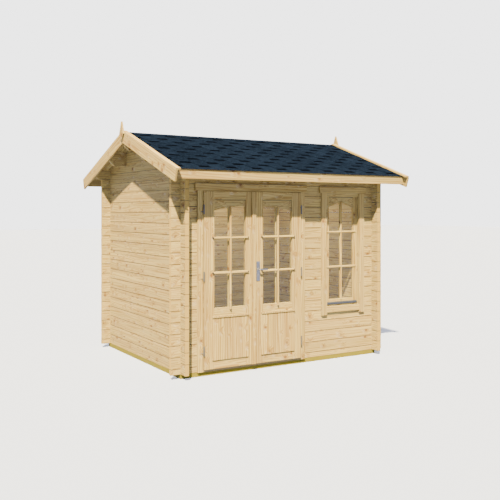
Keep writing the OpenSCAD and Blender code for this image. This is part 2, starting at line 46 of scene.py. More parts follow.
# Sizes shared with the solids, in metres
PITCH = math.radians(19.6)
TY, CY, SY = math.tan(PITCH), math.cos(PITCH), math.sin(PITCH)
APEX = 2.48808  # underside of the roof boards at the ridge
DECK = 0.018  # thickness of the roof boards
LOG = 0.114  # height of a row of logs
LOG_HALF = 0.022  # half the thickness of a log
ROW_FRONT, ROW_SIDE = 0.101, 0.044  # height of a joint on the front and rear walls, and on the side walls
RISE = 0.044  # rise of the arch over a leaf's pane
LEAF_GAP = 0.0055  # gap between a leaf and its frame
PANEL_OUT, PANEL_TOP = 0.009, 0.5798  # the lower door panels' reach and upper edge
ARCH_TOP = 1.7705  # upper edge of the arched boards in the doors
SASH_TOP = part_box("window_stiles")[1].z
HEAD_BOARD = 0.081  # height of the window's head board

# Materials

PALE, DEEP = (0.88, 0.605, 0.165), (0.55, 0.30, 0.052)  # early and late wood
PINK = (0.68, 0.38, 0.16)
HALO, PATCH = (0.52, 0.27, 0.08), (0.92, 0.72, 0.38)  # wood round a knot, and pale wood beside it
KNOT, KNOT_RIM = (0.33, 0.125, 0.024), (0.12, 0.045, 0.018)
END_PALE, END_DEEP = (0.86, 0.545, 0.125), (0.70, 0.40, 0.065)  # cut ends
JOINT_SHADE = (0.17, 0.085, 0.025)  # colour of the painted shade in the joints between logs and along boards
THROWN = (0.20, 0.21, 0.23)  # what wood shows to rays that don't come from the camera
RINGS = 46.0  # rings per metre
KNOT_CELLS = 8.2  # cells per metre, one knot in each
KNOT_SMALL, KNOT_MORE = 0.008, 0.012  # smallest radius of a knot, and what chance adds to it
EAVES = (1.70, 1.80)  # heights over which the painted shade on the logs' bevels fades to half, under the eaves where their shade falls
SHADE_LINE_HALF, SHADE_LINE_SOFT = 0.0095, 0.0060  # half width of a painted shade line along a joint, outside and inside its soft edge


class Tree:
    """Small helper for building a shader."""

    def __init__(self, name):
        self.mat = bpy.data.materials.new(name)
        self.mat.use_nodes = True
        self.tree = self.mat.node_tree
        self.tree.nodes.clear()
        self.out = self.node("ShaderNodeOutputMaterial")

    def node(self, kind, **props):
        n = self.tree.nodes.new(kind)
        for k, v in props.items():
            setattr(n, k, v)
        return n

    def put(self, socket, value):
        """Links an output to the socket, or sets a constant on it."""
        if hasattr(value, "is_linked"):
            self.tree.links.new(value, socket)
        elif isinstance(value, (tuple, list)) and len(value) == 3 and socket.type == "RGBA":
            socket.default_value = (*value, 1.0)
        else:
            socket.default_value = value

    def math(self, op, a, b=0.0, c=0.0):
        n = self.node("ShaderNodeMath", operation=op)
        for s, v in zip(n.inputs, (a, b, c)):
            self.put(s, v)
        return n.outputs[0]

    def vec(self, x, y, z):
        n = self.node("ShaderNodeCombineXYZ")
        for s, v in zip(n.inputs, (x, y, z)):
            self.put(s, v)
        return n.outputs[0]

    def scaled(self, parts, by):
        """Vector of three values, each multiplied by its own number."""
        return self.vec(*(self.math("MULTIPLY", p, b) for p, b in zip(parts, by)))

    def noise(self, vector, scale=1.0, detail=3.0, rough=0.55):
        n = self.node("ShaderNodeTexNoise")
        self.put(n.inputs["Vector"], vector)
        self.put(n.inputs["Scale"], scale)
        self.put(n.inputs["Detail"], detail)
        self.put(n.inputs["Roughness"], rough)
        return n.outputs["Fac"]

    def ramp(self, value, lo, hi, a=0.0, b=1.0):
        """Goes smoothly from a to b while value goes from lo to hi."""
        n = self.node("ShaderNodeMapRange", interpolation_type="SMOOTHSTEP")
        names = ("Value", "From Min", "From Max", "To Min", "To Max")
        for k, v in zip(names, (value, lo, hi, a, b)):
            self.put(n.inputs[k], v)
        return n.outputs[0]

    def mix(self, fac, a, b):
        n = self.node("ShaderNodeMix", data_type="RGBA", blend_type="MIX")
        self.put(n.inputs[0], fac)
        self.put(n.inputs[6], a)
        self.put(n.inputs[7], b)
        return n.outputs[2]

    def tint(self, amount, color, other, share=1.0):
        """Colour mixed with another by an amount, weakened by share."""
        return self.mix(self.math("MULTIPLY", amount, share), color, other)

    def wave(self, angle):
        """Sine of an angle, moved to the range from 0 to 1."""
        return self.math("MULTIPLY_ADD", self.math("SINE", angle), 0.5, 0.5)

    def coords(self):
        """Parts of the place on the object, and of the normal."""
        tc = self.node("ShaderNodeTexCoord")
        place = self.node("ShaderNodeSeparateXYZ")
        self.put(place.inputs[0], tc.outputs["Object"])
        normal = self.node("ShaderNodeSeparateXYZ")
        self.put(normal.inputs[0], tc.outputs["Normal"])
        return tuple(place.outputs), tuple(normal.outputs)

    def island(self):
        """Random number that each loose part of the mesh has for itself."""
        return self.node("ShaderNodeNewGeometry").outputs["Random Per Island"]

    def camera_ray(self):
        return self.node("ShaderNodeLightPath").outputs["Is Camera Ray"]

    def bump(self, height, strength, distance):
        n = self.node("ShaderNodeBump")
        self.put(n.inputs["Height"], height)
        self.put(n.inputs["Strength"], strength)
        self.put(n.inputs["Distance"], distance)
        return n.outputs[0]

    def surface(self, color, rough, normal, metal=0.0, spec=0.35):
        p = self.node("ShaderNodeBsdfPrincipled")
        self.put(p.inputs["Base Color"], color)
        self.put(p.inputs["Roughness"], rough)
        self.put(p.inputs["Metallic"], metal)
        self.put(p.inputs["Specular IOR Level"], spec)
        self.put(p.inputs["Normal"], normal)
        self.put(self.out.inputs[0], p.outputs[0])
        return self.mat


def wood_axes(t, axis):
    """Height, then coordinates along, across and through the wood, and the normal's parts in that order."""
    (x, y, z), (nx, ny, nz) = t.coords()
    down = t.math("ADD", z, t.math("MULTIPLY", t.math("ABSOLUTE", y), TY))
    order = {
        "X": ((x, z, y), (nx, nz, ny)),
        "Y": ((y, z, x), (ny, nz, nx)),
        "Z": ((z, x, y), (nz, nx, ny)),
        "S": ((y, down, x), (ny, nz, nx)),
    }
    return (z, *order[axis])


def knot_fields(t, place, size):
    """Distance from the nearest knot in its radii, that radius, and the way from the knot."""
    cells = t.node("ShaderNodeTexVoronoi", feature="F1")
    t.put(cells.inputs["Vector"], place)
    t.put(cells.inputs["Scale"], KNOT_CELLS)
    chance = t.node("ShaderNodeSeparateColor")
    t.put(chance.inputs[0], cells.outputs["Color"])
    radius = t.math("MULTIPLY_ADD", chance.outputs[0], KNOT_MORE, KNOT_SMALL * size)
    away = t.math("DIVIDE", cells.outputs["Distance"], KNOT_CELLS)
    way = t.node("ShaderNodeVectorMath", operation="SUBTRACT")
    t.put(way.inputs[0], place)
    t.put(way.inputs[1], cells.outputs["Position"])
    parts = t.node("ShaderNodeSeparateXYZ")
    t.put(parts.inputs[0], way.outputs[0])
    return t.math("DIVIDE", away, radius), radius, tuple(parts.outputs)


def knot_patch(t, near, radius, way, fibre):
    """Frayed patch on one side of a knot."""
    along = t.math("MULTIPLY_ADD", way[0], 0.55, t.math("MULTIPLY", radius, 1.3))
    across = t.math("MULTIPLY_ADD", way[1], 0.85, t.math("MULTIPLY", radius, 0.7))
    along, across = t.math("DIVIDE", along, radius), t.math("DIVIDE", across, radius)
    square = t.math("MULTIPLY_ADD", along, along, t.math("MULTIPLY", across, across))
    frayed = t.math("MULTIPLY_ADD", t.math("SUBTRACT", fibre, 0.5), 2.2, t.math("SQRT", square))
    return t.math("MULTIPLY", t.ramp(frayed, 1.5, 0.4), t.ramp(near, 4.2, 3.0))


def end_grain(t, v, w, bright):
    """Rings on a cut end."""
    squares = []
    for part, shift in ((v, 0.3), (w, 0.1)):
        turn = t.math("FRACT", t.math("MULTIPLY", part, 3.0))
        squares.append(t.math("POWER", t.math("ADD", turn, shift), 2.0))
    rings = t.wave(t.math("MULTIPLY", t.math("SQRT", t.math("ADD", *squares)), 260.0))
    return t.mix(rings, tuple(c * bright for c in END_PALE), tuple(c * bright for c in END_DEEP))


def log_joint_shade(t, color, z, normal, cut, joint_shade, first):
    """Paints shade on the bevels along the logs, halved under the eaves, and on the joints of their cut ends."""
    slant = t.math("MINIMUM", t.math("ABSOLUTE", normal[1]), t.math("ABSOLUTE", normal[2]))
    bevel = t.ramp(slant, 0.3, 0.6, 0.0, joint_shade)
    color = t.mix(t.math("MULTIPLY", bevel, t.ramp(z, *EAVES, 1.0, 0.5)), color, JOINT_SHADE)
    row = t.math("FRACT", t.math("DIVIDE", t.math("SUBTRACT", z, first), LOG))
    from_joint = t.math("MULTIPLY", t.math("MINIMUM", row, t.math("SUBTRACT", 1.0, row)), LOG)
    seam_shade = t.math("MULTIPLY", t.ramp(from_joint, 0.0045, 0.0015), t.math("MULTIPLY", cut, joint_shade))
    return t.mix(seam_shade, color, JOINT_SHADE)


def pine(name, axis, knots=1.0, seed=0.0, gain=1.0, joint_shade=0.0, first=0.0, ends=1.0, shade_line=0.0, grain=0.76):
    """Planed softwood with its grain along axis X, Y, Z, or S for down the slope of the roof.

    The joint strength given paints shade into the joints between logs, first is the height of one of them,
    and a painted shade line lies along one joint at the height given for it. A lower grain gives stronger streaks.
    """
    t = Tree(name)
    z, (u, v, w), normal = wood_axes(t, axis)
    own = t.island()
    offset = t.math("MULTIPLY_ADD", own, 57.0, seed)
    u = t.math("ADD", u, offset)
    v = t.math("MULTIPLY_ADD", offset, 0.371, v)
    w = t.math("MULTIPLY_ADD", offset, 0.733, w)
    near, radius, way = knot_fields(t, t.vec(t.math("MULTIPLY", u, 0.85), v, w), knots)
    halo = t.ramp(near, 3.4, 0.9)

    # rings that bend round the knots, fibres, streaks and wide blotches
    warp = t.noise(t.scaled((u, v, w), (0.55, 6.0, 6.0)), detail=2.0)
    fibre = t.noise(t.scaled((u, v, w), (3.0, 130.0, 130.0)), detail=4.0, rough=0.6)
    blotch = t.noise(t.scaled((u, v, w), (1.5, 8.0, 8.0)))
    streak = t.noise(t.scaled((u, v, w), (0.9, 36.0, 36.0)), detail=2.0)
    phase = t.math("MULTIPLY_ADD", v, RINGS, t.math("MULTIPLY", w, RINGS * 0.6))
    phase = t.math("MULTIPLY_ADD", warp, 7.5, phase)
    phase = t.math("MULTIPLY_ADD", halo, 1.6, phase)
    ring = t.math("POWER", t.wave(t.math("MULTIPLY", phase, 6.2832)), 2.2)
    tone = t.math("MULTIPLY_ADD", ring, 0.26, t.math("MULTIPLY", fibre, 0.34))
    tone = t.math("MULTIPLY_ADD", blotch, 0.26, tone)
    tone = t.math("MULTIPLY_ADD", streak, 0.46, t.math("SUBTRACT", tone, 0.12))
    tone = t.math("MULTIPLY_ADD", halo, 0.16, tone)

    # the face of the wood with its knots
    color = t.mix(t.ramp(tone, 0.30, grain), PALE, DEEP)
    color = t.tint(t.math("FRACT", t.math("MULTIPLY", own, 13.7)), color, PINK, 0.16)
    color = t.tint(halo, color, HALO, 0.22)
    color = t.tint(knot_patch(t, near, radius, way, fibre), color, PATCH, 0.30)
    color = t.tint(t.ramp(near, 1.0, 0.6), color, KNOT, 0.86)
    rim = t.ramp(t.math("ABSOLUTE", t.math("SUBTRACT", near, 0.92)), 0.22, 0.0)
    color = t.tint(rim, color, KNOT_RIM, 0.45)
    shade = t.math("FRACT", t.math("MULTIPLY", own, 7.31))
    value = t.node("ShaderNodeHueSaturation")
    t.put(value.inputs["Color"], color)
    t.put(value.inputs["Value"], t.math("MULTIPLY", t.math("MULTIPLY_ADD", shade, 0.20, 0.90), gain))

    # cut ends, painted shade in the joints, and a painted shade line along one joint
    cut = t.ramp(t.math("ABSOLUTE", normal[0]), 0.9, 0.98)
    color = t.mix(cut, value.outputs[0], end_grain(t, v, w, ends))
    if joint_shade > 0:
        color = log_joint_shade(t, color, z, normal, cut, joint_shade, first)
    # painted shade line along the joint at the height given
    if shade_line > 0:
        from_shade_line = t.math("ABSOLUTE", t.math("SUBTRACT", z, shade_line))
        color = t.mix(t.ramp(from_shade_line, SHADE_LINE_HALF, SHADE_LINE_SOFT, 0.0, 0.75), color, JOINT_SHADE)

    color = t.mix(t.camera_ray(), THROWN, color)
    height = t.math("MULTIPLY_ADD", ring, 0.35, fibre)
    return t.surface(color, t.ramp(tone, 0.1, 0.9, 0.56, 0.70), t.bump(height, 0.16, 0.0012))


def treated(name):
    """Greenish beams against rot."""
    t = Tree(name)
    place, _ = t.coords()
    streak = t.noise(t.scaled(place, (4.0, 4.0, 60.0)), detail=4.0)
    blotch = t.noise(t.vec(*place), 9.0)
    color = t.mix(streak, (0.50, 0.365, 0.022), (0.29, 0.20, 0.013))
    color = t.mix(t.ramp(blotch, 0.35, 0.75, 0.0, 0.5), color, (0.30, 0.26, 0.020))
    return t.surface(color, 0.75, t.bump(streak, 0.25, 0.002))


def granules(name, light, dark, fleck, amount):
    """Mineral granules on roofing felt, with single pale and dark grains."""
    t = Tree(name)
    place, _ = t.coords()
    point = t.vec(*place)
    fine = t.noise(point, 420.0, rough=0.7)
    middle = t.noise(point, 85.0, 4.0, 0.75)
    wide = t.noise(point, 5.0, rough=0.6)
    rows = t.noise(t.scaled(place, (16.0, 150.0, 1.0)), rough=0.6)
    f = t.math("MULTIPLY_ADD", middle, 0.85, t.math("MULTIPLY", wide, 0.15))
    f = t.math("MULTIPLY_ADD", t.island(), 0.07, t.math("ADD", f, 0.015))
    f = t.math("MULTIPLY_ADD", t.math("SUBTRACT", rows, 0.5), 0.75, f)
    color = t.mix(t.ramp(f, 0.42, 0.68), dark, light)
    color = t.mix(t.ramp(fine, 0.58, 0.75, 0.0, amount), color, fleck)
    color = t.mix(t.ramp(fine, 0.40, 0.28, 0.0, amount), color, tuple(0.4 * c for c in dark))
    return t.surface(color, 0.9, t.bump(fine, 0.5, 0.0012), spec=0.03)


def metal(name, color, rough, metallic=1.0, brush=(30.0, 30.0, 600.0), worn=0.25):
    """Brushed and slightly stained sheet or casting."""
    t = Tree(name)
    place, _ = t.coords()
    streak = t.noise(t.scaled(place, brush))
    stain = t.noise(t.vec(*place), 45.0, 4.0, 0.6)
    shown = t.mix(t.ramp(stain, 0.35, 0.75, 0.0, worn), color, tuple(0.62 * c for c in color))
    gloss = t.math("MULTIPLY_ADD", streak, 0.22, rough - 0.1)
    return t.surface(shown, gloss, t.bump(streak, 0.06, 0.0004), metallic, 0.5)


def glass(name):
    """Thin pane: mostly clear, with a faint and slightly uneven reflection."""
    t = Tree(name)
    clear = t.node("ShaderNodeBsdfTransparent")
    t.put(clear.inputs[0], (0.955, 0.968, 0.958))
    shine = t.node("ShaderNodeBsdfGlossy")
    t.put(shine.inputs["Color"], (0.95, 0.97, 1.0))
    place, _ = t.coords()
    t.put(shine.inputs["Roughness"], t.ramp(t.noise(t.vec(*place), 7.0, 2.0), 0.3, 0.7, 0.0, 0.03))
    both = t.node("ShaderNodeMixShader")
    t.put(both.inputs[0], 0.05)
    t.put(both.inputs[1], clear.outputs[0])
    t.put(both.inputs[2], shine.outputs[0])
    t.put(t.out.inputs[0], both.outputs[0])
    return t.mat


def stage_floor(name):
    """Pale floor that throws little light back on the object."""
    t = Tree(name)
    seen, thrown = t.node("ShaderNodeBsdfDiffuse"), t.node("ShaderNodeBsdfDiffuse")
    both = t.node("ShaderNodeMixShader")
    t.put(seen.inputs[0], (0.88, 0.89, 0.91))
    t.put(thrown.inputs[0], (0.160, 0.185, 0.270))
    t.put(both.inputs[0], t.camera_ray())
    t.put(both.inputs[1], thrown.outputs[0])
    t.put(both.inputs[2], seen.outputs[0])
    t.put(t.out.inputs[0], both.outputs[0])
    return t.mat


M = {
    # The log materials paint shade into their joints, weaker on the room side of the rear wall
    "log_x": pine("pine_log_x", "X", joint_shade=0.82, first=ROW_FRONT, ends=1.17, grain=0.80),
    "log_in": pine("pine_log_in", "X", joint_shade=0.40, first=ROW_FRONT, grain=0.80),
    "log_y": pine("pine_log_y", "Y", seed=11.0, joint_shade=0.82, first=ROW_SIDE, grain=0.80),
    "trim_x": pine("pine_trim_x", "X", seed=23.0, knots=0.8),
    "fascia": pine("pine_fascia", "X", seed=29.0, knots=0.8, gain=0.86),
    "trim_z": pine("pine_trim_z", "Z", seed=31.0, knots=0.8),
    "trim_s": pine("pine_trim_s", "S", seed=43.0, knots=0.8, gain=0.96),
    # gain 1.12 paints the caps paler than the boards: painted light, for the sun their upper faces catch
    "cap": pine("pine_cap", "S", seed=47.0, knots=0.5, gain=1.12),
    "door_x": pine("pine_door_x", "X", seed=53.0, knots=0.7),
    # The next four paint a shade line along the joint at a board's upper edge
    "door_head": pine("pine_door_head", "X", seed=23.0, knots=0.8, shade_line=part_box("door_casing")[1].z),
    "win_head": pine("pine_win_head", "X", seed=25.0, knots=0.8, shade_line=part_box("window_casing")[1].z),
    "arch": pine("pine_arch", "X", seed=59.0, knots=0.7, shade_line=ARCH_TOP),
    "sash_head": pine("pine_sash_head", "X", seed=61.0, knots=0.7, shade_line=SASH_TOP),
    "door_z": pine("pine_door_z", "Z", seed=67.0, knots=0.8, grain=0.68),
    "deck": pine("pine_deck", "S", seed=71.0, gain=0.95),
    "floor": pine("pine_floor", "X", seed=83.0, gain=0.95),
    "beam": treated("treated_beam"),
    "shingle": granules("shingle", (0.0100, 0.0172, 0.0295), (0.0013, 0.0030, 0.0058),
                        (0.032, 0.048, 0.074), 0.75),
    "dash": granules("shingle_dark", (0.0006, 0.0010, 0.0018), (0.0003, 0.0005, 0.0010),
                     (0.0020, 0.0030, 0.0050), 0.3),
    "zinc": metal("zinc", (0.30, 0.25, 0.175), 0.36, 0.4, worn=0.6),
    "handle": metal("handle_metal", (0.75, 0.69, 0.61), 0.34, worn=0.45),
    "sill": metal("sill_sheet", (0.076, 0.078, 0.080), 0.42, 0.0, worn=0.15),
    "clip": metal("bar_clip", (0.060, 0.050, 0.042), 0.45, 0.0, worn=0.3),
    "thresh": metal("threshold", (0.60, 0.40, 0.14), 0.55, 0.0, (600.0, 40.0, 40.0), 0.4),
    "glass": glass("pane"),
}

# Materials of the solids

door_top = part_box("left_leaf_stiles")[1].z
win_lo, win_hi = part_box("window_stiles")
cas_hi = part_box("window_casing")[1]
wall_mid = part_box("floor_boards")[1].y + LOG_HALF
wall_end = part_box("floor_boards")[1].x
BOARD_FROM, LINTEL_FROM = 0.004, 0.006  # start of the head board and of the lintel over the leaves
APRON_TO = 0.03  # end of the apron over the sash's lower edge
ARCH_FROM = 1.0  # the arched boards lie over this height, the lower panels below it
SLACK = 0.0004


def inside_rear(c):
    """On the rear wall's side to the room."""
    return c.y < wall_mid and abs(c.x) < wall_end


def door_board(c):
    """On the head board over the door, but not on the upper ends of the uprights below it."""
    return c.z > door_top + BOARD_FROM and abs(c.z - door_top - LEAF_GAP) > SLACK


def door_lintel(c):
    """On the head of the door frame."""
    return c.z > door_top + LINTEL_FROM


def lining_across(c):
    """On the window lining's upper or lower board."""
    return win_lo.x < c.x < win_hi.x and (c.z > win_hi.z or c.z < win_lo.z)


def window_board(c):
    """On the window's head board or its apron."""
    return c.z > cas_hi.z - HEAD_BOARD or (win_lo.x < c.x < win_hi.x and c.z < win_lo.z + APRON_TO)


def arched_board(c):
    """On the arched board of a leaf."""
    return c.z > ARCH_FROM


def paint(node, *mats, pick=None):
    """Gives a node its materials; pick says by a face's middle where the second one goes."""
    mesh = NODES[node].data
    mesh.materials.clear()
    for m in mats:
        mesh.materials.append(M[m])
    for p in mesh.polygons:
        p.material_index = int(pick(p.center)) if pick else 0


WHOLE = {
    "log_x": ("front_wall_left", "front_wall_middle", "front_wall_right", "front_wall_low",
              "front_wall_top", "purlins"),
    "log_y": ("left_wall", "right_wall", "left_gable", "right_gable"),
    "door_x": ("left_leaf_rails", "right_leaf_rails"),
    "sash_head": ("window_rails",),
    "door_z": ("left_leaf_stiles", "right_leaf_stiles", "left_leaf_strip", "window_stiles"),
    "trim_s": ("barge_boards",),
    "cap": ("barge_caps",),
    "zinc": ("left_leaf_hinges", "right_leaf_hinges", "hinge_pins"),
    "handle": ("handle_plates", "lever"),
    "glass": ("left_leaf_glass", "right_leaf_glass", "window_glass"),
    "trim_z": ("finials",),
    "fascia": ("fascias",),
    "beam": ("base_beams",),
    "sill": ("window_sill",),
    "thresh": ("door_threshold",),
}
for mat, nodes in WHOLE.items():
    for n in nodes:
        paint(n, mat)
paint("rear_wall", "log_x", "log_in", pick=inside_rear)
paint("door_casing", "trim_z", "door_head", pick=door_board)
paint("door_frame", "trim_z", "trim_x", pick=door_lintel)
paint("window_lining", "trim_z", "trim_x", pick=lining_across)
paint("window_casing", "trim_z", "win_head", pick=window_board)
for n in ("left_leaf_panels", "right_leaf_panels"):
    paint(n, "door_z", "arch", pick=arched_board)


# Pieces

def finish_piece(name, bm, mats, body, stands_for=()):
    """Makes an object of a mesh, hangs it on the body that carries it, and hides the parts it stands for."""
    mesh = bpy.data.meshes.new(name)
    bm.normal_update()
    bm.to_mesh(mesh)
    bm.free()
    for m in mats:
        mesh.materials.append(M[m])
    ob = bpy.data.objects.new(name, mesh)
    bpy.context.scene.collection.objects.link(ob)
    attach(ob, body)
    if stands_for:
        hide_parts(*stands_for)


def add_box(bm, lo, hi, bevel=0.0, to=None):
    """Adds a box, its edges broken by bevel, moved by the matrix to."""
    lo, hi = Vector(lo), Vector(hi)
    made = bmesh.ops.create_cube(bm, size=1.0)["verts"]
    for v in made:
        v.co = Vector((lo[i] + (v.co[i] + 0.5) * (hi[i] - lo[i]) for i in range(3)))
    if bevel > 0:
        faces = list(dict.fromkeys(f for v in made for f in v.link_faces))
        edges = list(dict.fromkeys(e for v in made for e in v.link_edges))
        out = bmesh.ops.bevel(bm, geom=edges, offset=bevel, segments=1, affect="EDGES", profile=0.5)
        faces = out["faces"] + [f for f in faces if f.is_valid]
        made = list(dict.fromkeys(v for f in faces for v in f.verts))
    if to is not None:
        for v in made:
            v.co = to @ v.co
    return made


def slope(side):
    """Matrix from (x, distance from the ridge, height over the boards' underside) to the shared frame."""
    return Matrix(((1, 0, 0, 0), (0, side * CY, side * SY, 0), (0, -SY, CY, APEX), (0, 0, 0, 1)))


X_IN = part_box("roof_boards")[1].x
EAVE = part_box("roof_boards")[1].y / CY
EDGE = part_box("roof_shingles")[1].y / CY
SLOPES = ((-1, "front"), (1, "rear"))
RIDGE_GAP = 0.001

# Roof boards run from the ridge to the eaves, joined with a small groove
ROOF_PLANKS, ROOF_GAP, ROOF_BEVEL = 33, 0.0004, 0.003
step = 2 * X_IN / ROOF_PLANKS
for side, label in SLOPES:
    bm = bmesh.new()
    for i in range(ROOF_PLANKS):
        a = -X_IN + i * step
        add_box(bm, (a + ROOF_GAP, RIDGE_GAP, ROOF_GAP), (a + step - ROOF_GAP, EAVE, DECK), ROOF_BEVEL, slope(side))
    finish_piece("roof_planks_" + label, bm, ["deck"], "cabin", ("roof_boards",))

# Shingles: courses of tabs narrowed to the lower edge, each lying on the course below
TAB, EXPO, THICK = 0.300, 0.131, 0.0019  # width of a tab, distance of the courses, thickness
COURSES, LENGTH = 10, 0.30  # number of courses, and a shingle's length down the slope
HALF_LOW, HALF_UP = 0.058, 0.092  # half a tab's width at its lower edge and where it widens
JITTER, TILT = 0.003, 0.2  # how far a tab's lower corners stray, and the share of it that tilts its edge
NARROW_TAB, NARROW_BAND = 0.004, 0.01  # tabs and bands cut narrower than this at the bargeboards are left out
BASE = DECK + 0.0004  # height of a shingle's upper end
COUNT_FROM = 0.025  # the courses are counted from a line this far past the edge
FIRST_TAB = -1.25 + 0.162  # middle of a tab in the odd courses of the front slope
STAGGER, REAR_SHIFT = 0.150, 0.06  # shifts of the even courses, and of the rear slope
BAND_UP, BAND_DOWN = 0.004, 0.037  # a dark band's reach up and down from the edge of its tab
BAND_TOP, BAND_LOW = 0.056, 0.064  # half its width at both ends
BAND_OVER, BAND_THICK = 0.0005, 0.0009  # its height over the shingle below, and its thickness
BAND_LAST = 0.156  # where, past the edge, the shingle under the lowest bands is taken to end
UNDERLAY, STARTER = (0.0003, 0.0012), (0.0012, 0.0030)  # heights over the boards' upper face
RIDGE_HEIGHT, RIDGE_DOWN = (0.0060, 0.0085), 0.075  # the ridge strip's heights, and its reach down the slope
SAME = 1e-6  # points closer than this are one


def lift(low, s):
    """Height of the underside, at s, of a shingle that ends at low."""
    return BASE + 3 * THICK * max(0.0, 1 - (low - s) / (3 * EXPO))


def prism(bm, m, outline, bottom, top, mat, turn=False):
    """Closed solid over an outline on the roof; bottom and top give its heights at a distance from the ridge.

    turn lists the corners of its faces the other way round, an order from which a tab's own tint follows.
    """
    up = [bm.verts.new(m @ Vector((x, s, top(s)))) for x, s in outline]
    dn = [bm.verts.new(m @ Vector((x, s, bottom(s)))) for x, s in outline]
    count = len(outline)
    sides = [[up[i], dn[i], dn[(i + 1) % count], up[(i + 1) % count]] for i in range(count)]
    for ring in [up, dn[::-1]] + sides:
        bm.faces.new(ring[::-1] if turn else ring).material_index = mat


def tab_centres(shift):
    """Middles of all tabs of a course, one or two of them past each end."""
    first = math.floor((-X_IN - shift) / TAB) - 1
    last = math.ceil((X_IN - shift) / TAB) + 1
    return [shift + k * TAB for k in range(first, last + 1)]


def between_boards(x):
    """Place across the roof, kept between the bargeboards."""
    return min(max(x, -X_IN), X_IN)


def without_spikes(pts):
    """Drops points that repeat the one before, or lie with both neighbours on one line down or along the roof."""
    pts, again = list(pts), True
    while again and len(pts) > 2:
        again = False
        for i, (x, s) in enumerate(pts):
            (xa, sa), (xb, sb) = pts[i - 1], pts[(i + 1) % len(pts)]
            same = abs(x - xa) < SAME and abs(s - sa) < SAME
            down = abs(x - xa) < SAME and abs(x - xb) < SAME
            along = abs(s - sa) < SAME and abs(s - sb) < SAME
            if same or down or along:
                del pts[i]
                again = True
                break
    return pts


def course(bm, side, low, shift, top):
    """Row of tabs that end at low, with jittered lower corners."""
    mid = max(low - EXPO, top)
    for c in tab_centres(shift):
        j = [rng.uniform(-JITTER, JITTER) for _ in range(4)]
        pts = [(c - HALF_LOW + j[0], low + j[1]), (c + HALF_LOW + j[2], low + j[1] + TILT * j[3]),
               (c + HALF_UP, mid), (c + TAB / 2, mid), (c + TAB / 2, top),
               (c - TAB / 2, top), (c - TAB / 2, mid), (c - HALF_UP, mid)]
        pts = [(between_boards(x), s) for x, s in pts]
        if max(x for x, s in pts) - min(x for x, s in pts) < NARROW_TAB:
            continue
        pts = without_spikes(pts)
        if len(pts) > 2:
            prism(bm, slope(side), pts, lambda s: lift(low, s), lambda s: lift(low, s) + THICK, 0, side > 0)


def dark_band(bm, side, low, shift):
    """Near-black bands just below the lower edges of a course's tabs."""
    under = min(low + 2 * EXPO, EDGE + BAND_LAST)

    def top(s):
        return lift(under, s) + THICK + BAND_OVER

    for c in tab_centres(shift):
        a, b = between_boards(c - BAND_TOP), between_boards(c + BAND_TOP)
        if b - a < NARROW_BAND:
            continue
        wide_a, wide_b = between_boards(c - BAND_LOW), between_boards(c + BAND_LOW)
        pts = [(a, low - BAND_UP), (b, low - BAND_UP), (wide_b, low + BAND_DOWN), (wide_a, low + BAND_DOWN)]
        prism(bm, slope(side), pts, lambda s: top(s) - BAND_THICK, top, 1)


def ridge_strip(bm, side):
    """Strip over the ridge, mitred where the slopes meet."""
    low, high = RIDGE_HEIGHT
    for v in add_box(bm, (-X_IN, 0.0, DECK + low), (X_IN, RIDGE_DOWN, DECK + high)):
        if v.co.y < RIDGE_DOWN / 2:
            v.co.y = -v.co.z * TY
        v.co = slope(side) @ v.co


for side, label in SLOPES:
    bm = bmesh.new()
    for start, (low, high) in ((RIDGE_GAP, UNDERLAY), (EDGE - LENGTH, STARTER)):
        add_box(bm, (-X_IN, start, DECK + low), (X_IN, EDGE, DECK + high), to=slope(side))
    for i in range(1, COURSES + 1):
        low = EDGE + COUNT_FROM - EXPO * i
        shift = FIRST_TAB + (0.0 if i % 2 else STAGGER) + (REAR_SHIFT if side > 0 else 0.0)
        dark_band(bm, side, low, shift)
        course(bm, side, low, shift, max(low - LENGTH, 2 * RIDGE_GAP))
    ridge_strip(bm, side)
    bmesh.ops.recalc_face_normals(bm, faces=bm.faces[:])
    finish_piece("shingles_" + label, bm, ["shingle", "dash"], "cabin", ("roof_shingles",))

# Floor boards along the front
FLOOR_PLANKS, FLOOR_GAP, FLOOR_BEVEL = 21, 0.0005, 0.002
lo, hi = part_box("floor_boards")
bm = bmesh.new()
step = (hi.y - lo.y) / FLOOR_PLANKS
for i in range(FLOOR_PLANKS):
    a = lo.y + i * step
    add_box(bm, (lo.x, a + FLOOR_GAP, lo.z), (hi.x, a + step - FLOOR_GAP, hi.z), FLOOR_BEVEL)
finish_piece("floor_planks", bm, ["floor"], "cabin", ("floor_boards",))

# Glazing bars, their clips, and the upright boards of the lower door panels
UPRIGHT_HALF, CROSS_HALF, BAR_BEVEL = 0.009, 0.010, 0.0035
BAR_UP = 0.012  # how far an upright bar runs past the top it is given
CROSS_SHIFT = 0.0006  # the cross bars lie this much behind the upright's face
BAR_OUT = 0.0150  # how far the doors' bars stand out from the leaf's face
BAR_LEFT, BAR_RIGHT, BAR_LOW = 0.0155, 0.0225, 0.0250  # and their reach past the pane
WIN_BAR_SIDE, WIN_BAR_LOW = 0.040, 0.014  # the same for the window
DOOR_BARS, WINDOW_BARS = (1.030, 1.384), (1.028, 1.420)  # heights of the cross bars
# front and rear of the bars outside, from the leaf's or sash's front, and of those inside, from its back
DOOR_DEPTHS = ((-BAR_OUT, 0.006), (-0.008, 0.005))
WINDOW_DEPTHS = ((-0.009, 0.006), (-0.004, 0.006))
CLIP_R, CLIP_OUT, CLIP_IN = 0.0080, BAR_OUT + 0.0018, 0.0010  # radius, and reach from the leaf's face
CLIP_TAPER, CLIP_SIDES = 0.75, 16
PANEL_BOARDS, BOARD_GAP, BOARD_BEVEL = 6, 0.0002, 0.0014
BOARD_OUT, BOARD_IN, BOARD_LOW = 0.0015, 0.004, 0.0004  # reach from the panel's face, and lift from its lower edge


